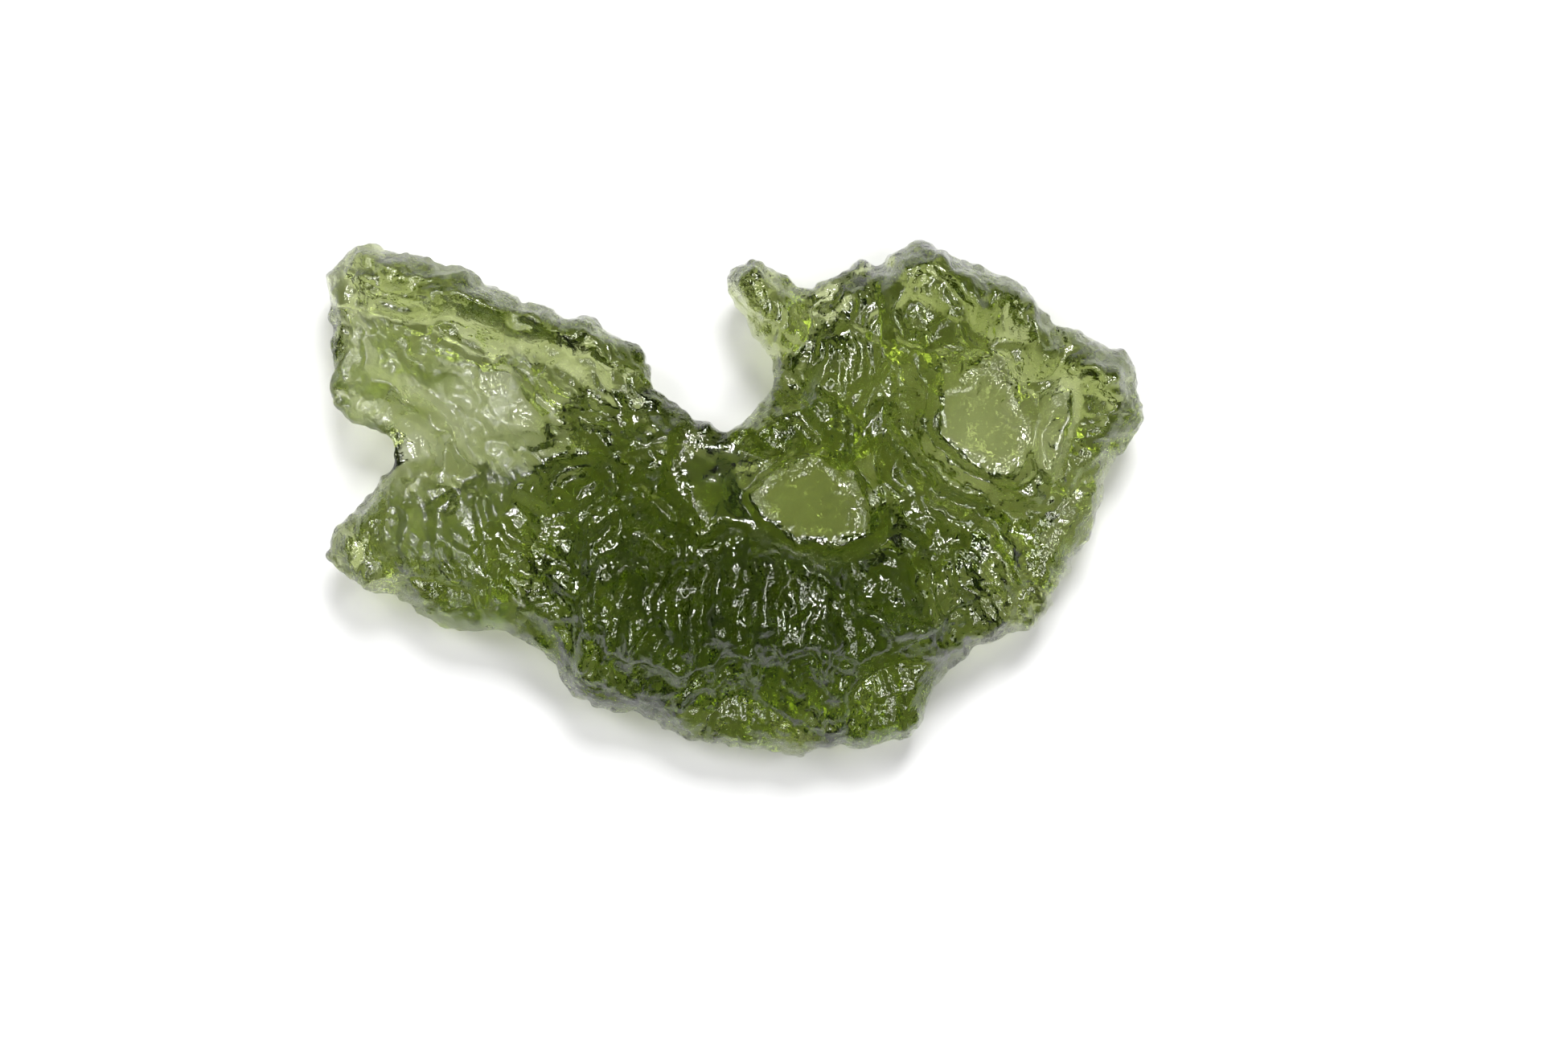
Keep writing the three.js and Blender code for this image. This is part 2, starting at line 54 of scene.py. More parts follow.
MM = 0.001  # the scene is in metres

# Values are in millimetres and degrees, where nothing else is said.

# Size of the mesh
GRID = 0.112  # pitch of the triangles inside the outline
RIM_RINGS = (0.025, 0.07, 0.14, 0.23)  # insets of the rings of points along the rim
RING_SHARE = 0.93  # a ring drops points nearer to the outline than this share of its inset
RIM_GAP = 0.6  # least distance from the last ring to the grid, as a share of its pitch
OUTLINE_STEPS = 1300
PLATE_STEPS = 400
SPAN_STEPS = 24  # points worked out between two points of a smooth line
SNAP = 1e-4  # points nearer to the outline than this are on it
MERGE = 1e-6  # points nearer to each other than this are one
CHUNK = 2000  # places measured against a chain at a time, to save memory

# Rim, plate and flanges, as in the CAD but with crisper steps and crests
RIM_ROUND = 1.0  # how far in the rounding of the rim itself reaches
EDGE_TAPER = 3.0  # how far in the stone goes on growing thicker
TAPER_SHARE = 0.35  # share of the thickness that the taper gives
RIM_LEVEL = 2.7  # height of the rim above the floor
RIM_WAVE = 0.45  # how much the rim rises and falls along the outline
RIM_WAVE_TURNS = (0.55, 0.8)  # how fast it does, in radians per millimetre of x and y
FLANGE_RIM_LEVEL = 1.9  # height of the rim on the low flanges
FLANGE_TOP = 4.5  # upper face of the low flanges
FLANGE_SAG = 0.8  # how much lower the flanges' under side is
FLANGE_STEP = 0.45  # width of the step from the plate down to a flange
FLANGE_FLUTES = 0.5  # depth of the flutes there, as a share of the plate's
LEDGE_STEP = 0.35  # width of the slope of a ledge
TOP_LEVEL = 4.4  # upper face before anything is worked into it
UNDER_LEVEL = 1.2  # lower face before anything is worked into it
BELLY_LEVEL = -0.4  # how far the belly reaches below the floor before it is ground flat
LEAST_THICKNESS = 0.8
WALL_BEND = 5  # how sharply the floor of a basin turns up into its wall
CREST_SOFTNESS = 0.06  # rounding where two scoops meet

# Flutes: small long scoops scattered over a face, from coarse to fine
TOP_FLUTES = (
    {"pitch": 1.35, "length": 1.25, "width": 0.72, "depth": 0.42, "seed": 1},
    {"pitch": 0.74, "length": 0.9, "width": 0.36, "depth": 0.24, "seed": 11},
    {"pitch": 0.42, "length": 0.4, "width": 0.22, "depth": 0.09, "seed": 21},
)
UNDER_FLUTES = (
    {"pitch": 2.1, "length": 1.7, "width": 1.25, "depth": 0.5, "seed": 2},
    {"pitch": 0.95, "length": 1.0, "width": 0.5, "depth": 0.24, "seed": 12},
    {"pitch": 0.45, "length": 0.42, "width": 0.26, "depth": 0.09, "seed": 22},
)
FLUTE_JITTER = 0.7  # share of the pitch that a flute may be off its grid place
FLUTE_LEAST = 0.7  # size of the smallest flute, as a share of the size above
FLUTE_SPREAD = 0.6  # how much larger than that the largest is
FLUTE_FAN = 40  # how far apart the directions of neighbours may be

# Flutes run away from one middle for each region of the outline
WING_MIDDLE = (-17.0, 10.0)
DISH_MIDDLE = (9.8, 2.4)
NECK_MIDDLE = (3.5, -3.0)
BODY_MIDDLE = (1.5, 7.5)
WING_SIDE = -6.5  # the wing is left of this
DISH_SIDE = 6  # the dish and the comb are right of this, and the neck left of it
BODY_EDGE = (1, 0.1)  # the body is below this line: its level where x is 0, and its slope

# Unevenness, as pairs of a wave and a height or share
GRAIN = ((1.1, 0.07), (0.5, 0.06), (0.28, 0.042))  # moves the surface along its own normal
NICKS = ((1.3, 0.1), (0.55, 0.08), (0.28, 0.04))  # moves the outline
WARP = ((2.2, 0.3), (0.8, 0.14))  # pushes the relief about sideways
BASIN_WAVER = ((1.7, 0.3), (0.5, 0.1))  # varies the basins' outlines, as a share of their size
BASIN_WAVE = (1.1, 0.03)  # gentle waves of the basins' floors

# Seeds of the noise: a row of pairs goes on from its first seed
NICK_SEED = 31
GRAIN_SEED = 41
WARP_SEEDS = (51, 61)
FLOOR_SEED = 71
WAVER_SEED = 73
SATIN_SEED = 81

# The hash behind the noise: turns for each axis and for the seed, and its scale
HASH_TURNS = (127.1, 311.7, 191.3)
HASH_SEED_TURN = 74.7
HASH_SCALE = 43758.5453

# Etching: 1 is the common roughness of a face. Places in a basin are squares of the distance
# from its middle, 1 at the edge of its oval.
BASIN_SEAM = (-0.05, 0.15)  # the basin takes over where the terrain is this much above it
FLOOR_EDGE = (0.22, 0.45)  # a basin is smooth up to the first, etched from the second
WALL_BAND = (0.32, 0.55)  # its wall's extra etching begins at the first, is full at the second
WALL_ETCH = 0.7  # how much the wall has beyond the common etching
UNDER_ETCH = 0.25  # the least on the under side
RIM_ETCH = (0.5, 0.9)  # extra etching along the rim: reach, share
LEAST_GRAIN = 0.2  # share of the grain that is left on a smooth floor
MOST_GRAIN_ETCH = 1.5  # etching beyond this gives no more grain

# Satin sheen of the wing, in patches
SATIN_SIDE = (-6.5, -9.0)  # it begins left of the first and is full left of the second
SATIN_WAVE = 1.6
SATIN_PATCH = (-0.5, 0.3)  # noise at which a patch begins and is full

# The glass, with scales per metre
GLASS_IOR = 1.49
GLASS_COLOUR = (0.525, 0.597, 0.09, 1)  # what absorption leaves
ABSORPTION = 570.0
BASIN_ROUGHNESS = 0.12  # on the basins' smooth floors
GLOSS_ROUGHNESS = (0.03, 0.11)  # on the etched faces, in patches
GLOSS_NOISE = (0.35, 0.65)  # noise at which the patches begin and are full
GLOSS_SCALE = 700.0
SATIN_ROUGHNESS = 0.25  # what the satin adds there
PIT_SCALE = 3000.0
PIT_DEPTH = 0.0001  # in metres
PIT_STRENGTH = (0.2, 1.1)  # where nothing is etched, and where the etching is the most
MOST_ETCH = 2.0

# Studio, in metres, with lamps as name, azimuth from +Y towards +X, elevation, share of the power
LAMPS = (
    ("back", 12, 57, 1.9),
    ("right", 84, 60, 0.6),
    ("front_right", 150, 62, 0.35),
    ("front_left", 222, 60, 0.4),
    ("left", 300, 62, 0.65),
)
LAMP_POWER = 1.9
LAMP_DISTANCE = 0.5
LAMP_SIZE = 0.15
WORLD_STRENGTH = 0.08
FLOOR_HALF = 0.4
FLOOR_DROP = 0.00002  # keeps the floor just clear of the flat spot
FLOOR_GREY = 0.5
FLOOR_ROUGHNESS = 0.9

# The photo: its columns in all, and those that the stone's 32 mm cover
PHOTO_COLUMNS = 1950
STONE_COLUMNS = 1015
STONE_LENGTH = 32
FRAME_MIDDLE = (1.92, -0.95)  # what the camera looks at
FOCUS_LEVEL = 3  # height at which the frame is measured
LENS = 100
SENSOR = 36

# Outline seen from above, clockwise from the upper left wing tip
OUTLINE = [
    [-16.1, 8.0], [-15.6, 9.3], [-14.4, 10.0], [-13.2, 9.6], [-12.4, 9.4], [-11.4, 8.9],
    [-10.6, 8.9], [-9.3, 8.1], [-8.0, 7.5], [-7.3, 7.4], [-6.8, 7.0], [-5.9, 7.1],
    [-4.8, 6.3], [-3.9, 5.8], [-3.3, 4.5], [-2.4, 3.5], [-1.5, 3.0], [-0.6, 2.7],
    [0.1, 2.9], [0.9, 3.9], [1.4, 5.0], [1.1, 5.8], [0.3, 7.0], [-0.4, 8.3],
    [-0.1, 9.0], [0.9, 9.4], [1.6, 8.9], [2.4, 8.3], [3.4, 8.3], [4.7, 9.2],
    [5.6, 8.9], [6.2, 9.6], [7.2, 10.0], [8.2, 9.6], [9.6, 9.1], [10.9, 8.5],
    [11.7, 7.5], [12.5, 6.7], [14.2, 6.2], [15.4, 5.5], [15.7, 4.3], [16.0, 2.9],
    [15.3, 2.0], [14.5, 1.0], [14.3, -0.1], [13.8, -1.7], [13.1, -2.6], [12.5, -3.8],
    [11.6, -5.0], [10.4, -5.3], [9.1, -6.1], [8.2, -6.9], [7.6, -8.0], [7.2, -9.1],
    [6.3, -9.5], [4.6, -10.0], [3.9, -9.8], [2.4, -10.1], [0.6, -9.9], [-1.4, -9.6],
    [-2.6, -9.1], [-3.9, -8.5], [-5.0, -8.4], [-6.4, -7.8], [-7.0, -6.9], [-8.3, -5.8],
    [-9.4, -5.3], [-10.8, -5.2], [-12.2, -4.8], [-13.2, -3.9], [-14.6, -3.5], [-15.9, -2.6],
    [-15.8, -1.3], [-14.8, -0.3], [-13.9, 0.7], [-13.4, 1.7], [-14.0, 2.6], [-15.3, 3.0],
    [-15.8, 4.0], [-15.9, 5.6], [-15.9, 6.8],
]

# Edge of the upper plate. Where it runs inside the outline, a low flange shows outside it.
PLATE_EDGE = [
    [-18.0, -4.2], [-14.0, -3.5], [-12.0, -3.3], [-10.8, -3.5], [-9.7, -4.6], [-8.4, -5.5],
    [-6.9, -6.7], [-6.0, -7.5], [-4.9, -8.0], [-3.2, -8.5], [-1.4, -9.0], [-0.5, -7.9],
    [1.4, -8.2], [2.4, -8.9], [4.0, -9.0], [4.6, -7.2], [5.8, -6.5], [8.3, -6.3],
    [9.6, -5.7], [10.6, -4.6], [10.9, -3.6], [11.6, -3.1], [11.1, -1.8], [11.2, -1.1],
    [12.2, -0.3], [13.2, 0.6], [14.6, 1.4], [18.0, 1.0], [19.0, 12.0], [-19.0, 12.0],
]

# Swellings: middle x, y, half length, half width, turn in degrees, height
TOP_SWELLS = [
    [0.6, -4.4, 8.8, 3.7, -6, 2.6],  # thick body
    [0.2, 2.4, 5.5, 1.6, 0, 0.9],  # shoulder under the notch
    [3.6, 5.0, 2.4, 3.2, 12, 0.7],  # neck right of the notch
    [9.4, 8.0, 4.8, 1.9, -22, 2.2],  # comb
    [14.4, 4.2, 1.5, 2.6, 10, 1.3],  # lumps at the right end
    [-10.2, 7.9, 5.5, 1.3, -20, 1.9],  # upper band of the wing
    [-15.2, 4.6, 1.1, 2.6, 0, 0.5],  # worn end of the wing
    [-12.8, -2.0, 3.2, 1.7, -22, 1.1],  # lower wing
    [0.3, 8.2, 1.6, 1.9, 20, 1.4],  # tip beside the notch
    [-9.8, 2.6, 4.4, 2.8, -10, -0.5],  # sunken middle of the wing
    [-5.4, -1.6, 2.6, 2.2, 0, 0.6],  # shoulder left of the pit
    [-0.6, 0.8, 2.4, 1.8, -18, 0.9],  # around the dark half of the bowl
    [12.6, 0.6, 2.0, 3.4, 0, 0.8],  # right of the dish
]
UNDER_SWELLS = [
    [0.6, -1.4, 10.0, 6.4, -4, 2.4],  # belly that the stone rests on
    [-12.4, -2.4, 3.0, 1.8, -20, 0.4],  # lower wing
    [-9.6, 7.4, 4.6, 1.4, -20, 0.5],  # upper band of the wing
    [9.0, 8.0, 4.6, 1.6, -20, 0.5],  # comb
    [14.6, 4.0, 1.4, 2.4, 10, 0.6],  # lumps at the right end
    [0.4, 8.0, 1.4, 2.0, 20, 1.2],  # tip beside the notch
]

# Scoops: middle x, y, half length, half width, turn in degrees, depth,
# and how softly the rim runs out, 1 for a crisp rim
TOP_SCOOPS = [
    [5.4, 1.4, 0.9, 0.8, 0, 0.8, 1],
    [10.2, 6.7, 1.6, 1.0, 100, 0.9, 1.2],  # scoop in the comb
    [7.2, 7.6, 1.3, 0.8, 70, 0.6, 1],
    [12.4, 6.3, 0.8, 0.5, 110, 0.7, 1],
    [13.8, 5.9, 0.8, 0.5, 0, 0.6, 1],
    [14.1, 3.6, 0.6, 0.6, 0, 0.9, 1],
    [14.9, 1.9, 0.7, 0.5, 40, 0.6, 1],
    [-12.6, 2.0, 1.4, 1.0, -40, 0.9, 1.2],  # hollow beside the fold
    [-15.0, 4.2, 0.7, 0.6, 0, 0.8, 1],
    [-9.4, 4.2, 3.8, 2.0, -24, 1.0, 1.5],  # shelf of the wing
    [-6.7, 4.3, 1.3, 0.9, 80, 0.7, 1],
    [-11.8, 6.5, 2.0, 0.7, -16, 0.4, 1],
    [3.2, 7.0, 1.5, 0.9, -10, 0.7, 1],
    [2.6, 4.2, 1.1, 0.8, 70, 0.6, 1],
    [4.8, 3.9, 1.2, 0.9, 70, 0.8, 1],
    [7.4, -3.6, 1.9, 1.4, 20, 0.8, 1],
    [12.9, -1.5, 1.1, 0.5, 80, 0.5, 1],  # oval pit in the right flange
]
UNDER_SCOOPS = [
    [-13.8, 8.2, 1.8, 1.2, -10, 0.6, 1],
    [3.2, 6.6, 1.8, 1.4, 60, 0.6, 1],
    [10.2, -3.2, 2.2, 1.5, 40, 0.7, 1],
    [-7.6, -3.2, 2.2, 1.5, 30, 0.6, 1],
    [-2.6, -7.4, 2.0, 1.1, -25, 0.4, 1],
]

# Basins with a smooth flat floor: middle x, y, half length, half width, turn in degrees,
# level of the floor, and how far the wall has risen at the oval's edge
TOP_BASINS = [
    [3.1, -0.4, 3.0, 2.1, -14, 4.0, 1.6],  # bright right half of the central bowl
    [-0.2, 0.4, 3.1, 2.1, -18, 4.4, 1.6],  # dark left half of the central bowl
    [9.6, 3.1, 3.0, 2.2, 104, 3.2, 1.4],  # right dish
    [12.3, 2.6, 2.0, 0.8, 80, 2.8, 1.0],  # pale lens beside the dish
    [-10.6, 1.9, 2.9, 1.3, 34, 4.0, 0.8],  # pale basin of the wing, out to the side notch
]
UNDER_BASINS = [
    [3.2, -0.1, 3.3, 2.4, -14, 1.6, 1.4],  # below the bright half of the bowl
    [10.1, 3.0, 3.2, 2.6, 95, 1.5, 1.2],  # below the dish
    [-10.0, 3.2, 4.4, 2.4, -14, 2.0, 1.2],  # below the wing
    [-12.4, 0.8, 2.0, 1.6, 40, 2.0, 1.2],  # below the corner at the side notch
    [12.8, -1.2, 1.6, 1.0, 75, 1.5, 1.0],  # below the right flange
]

# Crests, and valleys where the height is less than 0: height, half width, points
TOP_CRESTS = [
    # outside the dish
    [0.6, 0.4, [[6.4, 1.9], [7.5, 0.6], [8.0, -0.1], [9.0, -0.5], [10.2, -1.1]]],
    [-0.6, 0.4, [[6.2, 5.3], [6.6, 2.7], [8.4, 0.4], [10.5, -0.9]]],  # valley round the dish
    [0.6, 0.45, [[7.4, 4.7], [7.9, 3.4], [8.8, 2.3], [9.8, 1.1], [11.3, 0.2]]],  # rim of the dish
    [0.5, 0.4, [[11.9, 5.4], [12.9, 5.0], [14.5, 4.9]]],
    # line round the scoop in the comb
    [-0.6, 0.3, [[8.2, 7.9], [9.3, 6.2], [9.9, 5.8], [11.1, 5.9]]],
    [-0.5, 0.35, [[5.6, 8.9], [4.8, 8.3], [4.0, 7.8], [3.0, 7.6]]],
    [0.5, 0.4, [[6.1, 9.0], [6.6, 7.9], [6.4, 6.9]]],
    # fold of the wing
    [0.8, 0.5, [[-13.9, 4.3], [-12.5, 3.5], [-11.8, 2.6], [-11.3, 1.6], [-10.6, 0.6]]],
    [-0.5, 0.3, [[-12.9, 4.7], [-11.7, 3.5], [-10.9, 2.3], [-10.2, 1.5]]],  # line along the fold
    [0.5, 0.35, [[-9.0, 5.1], [-8.0, 4.4], [-7.4, 3.2], [-7.2, 2.3]]],
    [0.9, 0.4, [[-4.9, 0.9], [-4.1, -0.2], [-3.4, -1.0], [-2.5, -1.4]]],  # bright band in the pit
    [0.9, 0.4, [[-3.3, 0.4], [-2.5, 0.0], [-1.6, -0.7], [-1.0, -1.5]]],  # between pit and bowl
    [0.5, 0.5, [[-4.4, -2.9], [-1.2, -2.5], [1.0, -2.7], [3.0, -3.0], [5.4, -2.4], [6.0, -0.6]]],
    [0.4, 0.4, [[-6.8, 0.9], [-4.9, 1.2], [-3.4, 2.6]]],
    [0.5, 0.3, [[-2.6, -2.8], [-2.8, -4.7]]],  # long ribs below the bowl
    [0.5, 0.35, [[-0.7, -3.1], [-0.8, -5.3]]],
    [0.5, 0.3, [[-1.7, -4.2], [-1.9, -5.8]]],
    [0.5, 0.3, [[1.4, -2.5], [1.2, -5.1]]],
    [0.5, 0.3, [[-5.2, -2.8], [-5.4, -4.1]]],
    [0.5, 0.3, [[-6.0, -4.2], [-6.1, -6.6]]],
    [0.5, 0.3, [[-4.1, -4.7], [-4.1, -6.3]]],
    [0.5, 0.35, [[1.9, -2.3], [3.3, -3.2], [4.8, -4.1], [6.1, -5.3]]],
    [0.5, 0.3, [[3.1, -5.7], [3.7, -6.3], [4.9, -6.5]]],
]
UNDER_CRESTS = [
    [0.4, 0.6, [[-15.0, 1.2], [-11.0, 1.0], [-7.5, 0.2]]],
    [0.4, 0.6, [[6.4, 7.8], [7.0, 4.6], [6.4, 2.4]]],
    [0.4, 0.6, [[8.6, -1.0], [11.6, -1.4], [12.6, -3.0]]],
]

# Ledges: rise, how far the raised side fades back, points with the raised side on their left
TOP_LEDGES = [
    [0.8, 2.4, [[-14.6, 7.3], [-11.5, 6.9], [-9.3, 6.5], [-8.2, 6.0], [-6.4, 5.8], [-4.8, 5.2]]],
    [0.6, 1.6, [[4.6, 6.5], [5.4, 6.2], [6.6, 6.2], [7.9, 5.9]]],
    [0.6, 2.0, [[-5.0, -5.8], [-2.5, -6.8], [0.6, -6.6], [3.3, -5.7], [5.0, -6.4], [7.9, -4.9]]],
]


def chance(i, j, seed):
    """A number from 0 to 1 that is fixed for each place of a scattering grid."""
    turns = i * HASH_TURNS[0] + j * HASH_TURNS[1] + seed * HASH_SEED_TURN
    wave = np.sin(turns) * HASH_SCALE
    return wave - np.floor(wave)


def smoothstep(value, low, high):
    share = np.clip((value - low) / (high - low), 0.0, 1.0)
    return share * share * (3 - 2 * share)


def blend(a, b, share):
    return a + (b - a) * share


def soft_max(a, b):
    """The larger of two depths, with the crest where they meet rounded off."""
    near = np.maximum(CREST_SOFTNESS - np.abs(a - b), 0) / CREST_SOFTNESS
    return np.maximum(a, b) + near * near * CREST_SOFTNESS / 4


def noise(points, seed):
    """Smooth noise from -1 to 1, one wave per unit, for points of any dimension up to 3."""
    base = np.floor(points)
    part = points - base
    part = part * part * part * (part * (part * 6 - 15) + 10)
    total = 0
    count = points.shape[1]
    for corner in range(2**count):
        weight = 1
        place = seed * HASH_SEED_TURN
        for axis in range(count):
            step = (corner >> axis) & 1
            weight = weight * (part[:, axis] if step else 1 - part[:, axis])
            place = place + (base[:, axis] + step) * HASH_TURNS[axis]
        wave = np.sin(place) * HASH_SCALE
        total = total + weight * (wave - np.floor(wave))
    return 2 * total - 1


def waves(points, pairs, seed):
    """The sum of noise for each pair of a wave and a height, one seed after the other."""
    return sum(height * noise(points / wave, seed + i) for i, (wave, height) in enumerate(pairs))


def oval_distance(x, y, oval):
    """Square of the distance from an oval's middle, 1 at its edge."""
    middle_x, middle_y, half_length, half_width, turn = oval[:5]
    cos, sin = np.cos(np.radians(turn)), np.sin(np.radians(turn))
    along = (x - middle_x) * cos + (y - middle_y) * sin
    across = (y - middle_y) * cos - (x - middle_x) * sin
    return (along / half_length) ** 2 + (across / half_width) ** 2


def nearest_on_chain(places, chain, closed=False):
    """Distance to the chain, and the side of it, +1 on the left."""
    starts = np.array(chain, float)
    ends = np.roll(starts, -1, axis=0)
    if not closed:
        starts, ends = starts[:-1], ends[:-1]
    runs = ends - starts
    lengths = (runs**2).sum(1)
    distance = np.empty(len(places))
    side = np.empty(len(places))
    for first in range(0, len(places), CHUNK):
        part = slice(first, first + CHUNK)
        here = places[part]
        to = here[:, None, :] - starts[None]
        share = np.clip((to * runs).sum(2) / lengths, 0, 1)
        foot = starts[None] + share[..., None] * runs[None]
        gap = ((here[:, None, :] - foot) ** 2).sum(2)
        best = gap.argmin(1)
        rows = np.arange(len(here))
        distance[part] = np.sqrt(gap[rows, best])
        cross = runs[best, 0] * to[rows, best, 1] - runs[best, 1] * to[rows, best, 0]
        side[part] = np.where(cross < 0, -1, 1)
    return distance, side


def is_inside(places, loop):
    """Whether each place is inside the loop."""
    x, y = places[:, 0], places[:, 1]
    inside = np.zeros(len(places), bool)
    for (ax, ay), (bx, by) in zip(loop, np.roll(loop, -1, axis=0)):
        crosses = (ay > y) != (by > y)
        if crosses.any():
            at = ax + (y - ay) / (by - ay if by != ay else 1) * (bx - ax)
            inside ^= crosses & (x < at)
    return inside


def depth_inside(places, loop):
    """Distance in from the edge of a loop, less than 0 outside it."""
    distance = nearest_on_chain(places, loop, closed=True)[0]
    return np.where(is_inside(places, loop), distance, -distance)


def smooth_loop(points, steps):
    """A smooth closed line through the points, with even steps."""
    points = np.array(points, float)
    before, after = np.roll(points, 1, axis=0), np.roll(points, -1, axis=0)
    after_next = np.roll(points, -2, axis=0)
    t = np.linspace(0, 1, SPAN_STEPS, endpoint=False)[None, :, None]
    a, b, c, d = (p[:, None, :] for p in (before, points, after, after_next))
    square, cube = 2 * a - 5 * b + 4 * c - d, 3 * b - a - 3 * c + d
    curve = (0.5 * (2 * b + (c - a) * t + square * t**2 + cube * t**3)).reshape(-1, 2)
    closed = np.vstack([curve, curve[:1]])
    run = np.concatenate([[0], np.cumsum(np.hypot(*np.diff(closed, axis=0).T))])
    even = np.linspace(0, run[-1], steps, endpoint=False)
    return np.column_stack([np.interp(even, run, closed[:, axis]) for axis in (0, 1)])


def nicked(loop):
    """The outline with its small nicks and knobs."""
    ahead, behind = np.roll(loop, -1, axis=0), np.roll(loop, 1, axis=0)
    run = ahead - behind
    outward = np.column_stack([-run[:, 1], run[:, 0]]) / np.hypot(*run.T)[:, None]
    return loop + outward * waves(loop, NICKS, NICK_SEED)[:, None]


outline = nicked(smooth_loop(OUTLINE, OUTLINE_STEPS))
plate_edge = smooth_loop(PLATE_EDGE, PLATE_STEPS)


def flute_turn(x, y):
    """Direction that the flutes run in: away from one middle for each region."""
    above_body = y > BODY_EDGE[0] + BODY_EDGE[1] * x
    regions = [x < WING_SIDE, above_body & (x > DISH_SIDE), above_body]
    middle_x, middle_y = (
        np.select(regions, of_regions, of_body)
        for *of_regions, of_body in zip(WING_MIDDLE, DISH_MIDDLE, NECK_MIDDLE, BODY_MIDDLE)
    )
    return np.degrees(np.arctan2(y - middle_y, x - middle_x))


def flute_depth(x, y, flutes):
    """How deep the scattered flutes cut."""
    pitch, seed = flutes["pitch"], flutes["seed"]
    longest = flutes["length"] * (FLUTE_LEAST + FLUTE_SPREAD)
    reach = math.ceil(longest / pitch + 0.5 * FLUTE_JITTER)
    column, row = np.round(x / pitch), np.round(y / pitch)
    depth = np.zeros(len(x))
    for di in range(-reach, reach + 1):
        for dj in range(-reach, reach + 1):
            i, j = column + di, row + dj
            middle_x = (i + FLUTE_JITTER * (chance(i, j, seed) - 0.5)) * pitch
            middle_y = (j + FLUTE_JITTER * (chance(j, i, seed + 3) - 0.5)) * pitch
            size = FLUTE_LEAST + FLUTE_SPREAD * chance(i + 9, j, seed + 5)
            fan = FLUTE_FAN * (chance(i, j + 9, seed + 7) - 0.5)
            turn = flute_turn(middle_x, middle_y) + fan
            oval = (middle_x, middle_y, flutes["length"] * size, flutes["width"] * size, turn)
            depth = soft_max(depth, flutes["depth"] * size * (1 - oval_distance(x, y, oval)))
    return depth


def warped(places):
    """The places, pushed about sideways."""
    return places + np.column_stack([waves(places, WARP, seed) for seed in WARP_SEEDS])


def relief(places, face):
    """How far the relief rises above a face's level, and how deep scoops and flutes cut it."""
    places = warped(places)
    x, y = places.T
    height = np.zeros(len(x))
    for swell in face["swells"]:
        height += swell[5] * np.exp(-oval_distance(x, y, swell))
    for rise, fade, chain in face["ledges"]:
        distance, side = nearest_on_chain(places, chain)
        slope = smoothstep(side * distance, -LEDGE_STEP / 2, LEDGE_STEP / 2)
        height += rise * slope * np.exp(-((distance / fade) ** 2))
    for rise, half_width, chain in face["crests"]:
        distance = nearest_on_chain(places, chain)[0]
        height += rise * np.exp(-((distance / half_width) ** 2))
    cut = np.zeros(len(x))
    for scoop in face["scoops"]:
        depth, softness = scoop[5:]
        cut = soft_max(cut, depth * np.maximum(1 - oval_distance(x, y, scoop), 0) ** softness)
    for flutes in face["flutes"]:
        cut += flute_depth(x, y, flutes)
    return height, cut


def basin_surface(places, basins, way):
    """The surface of the basins, and how near to a wall it is. Way 1 opens up, -1 down."""
    x, y = warped(places).T
    waver = 1 + waves(places, BASIN_WAVER, WAVER_SEED)
    ovals = waver * np.array([oval_distance(x, y, basin) for basin in basins])
    levels = np.array([[basin[5]] for basin in basins])
    rises = np.array([[basin[6]] for basin in basins])
    wave = BASIN_WAVE[1] * noise(places / BASIN_WAVE[0], FLOOR_SEED)
    surfaces = way * levels + rises * ovals**WALL_BEND + wave
    nearest = surfaces.argmin(0)
    columns = np.arange(len(x))
    return way * surfaces[nearest, columns], ovals[nearest, columns]


TOP = {
    "swells": TOP_SWELLS,
    "scoops": TOP_SCOOPS,
    "crests": TOP_CRESTS,
    "ledges": TOP_LEDGES,
    "flutes": TOP_FLUTES,
}
UNDER = {
    "swells": UNDER_SWELLS,
    "scoops": UNDER_SCOOPS,
    "crests": UNDER_CRESTS,
    "ledges": (),
    "flutes": UNDER_FLUTES,
}


def quarter_round(share):
    """Rises from 0 to 1 like a quarter of a circle."""
    return np.sqrt(1 - (1 - np.clip(share, 0, 1)) ** 2)


def edge_rounding(inward):
    """Share of a face's full height that it has this far in from an edge."""
    rounding, taper = quarter_round(inward / RIM_ROUND), quarter_round(inward / EDGE_TAPER)
    return blend(rounding, taper, TAPER_SHARE)


def etching(terrain_above_basin, oval):
    """1 where a face is etched, 0 on the smooth floor of a basin, more than 1 on its wall."""
    in_basin = smoothstep(terrain_above_basin, *BASIN_SEAM)
    smooth = in_basin * (1 - smoothstep(oval, *FLOOR_EDGE))
    rough = WALL_ETCH * in_basin * smoothstep(oval, *WALL_BAND)
    return 1 - smooth + rough


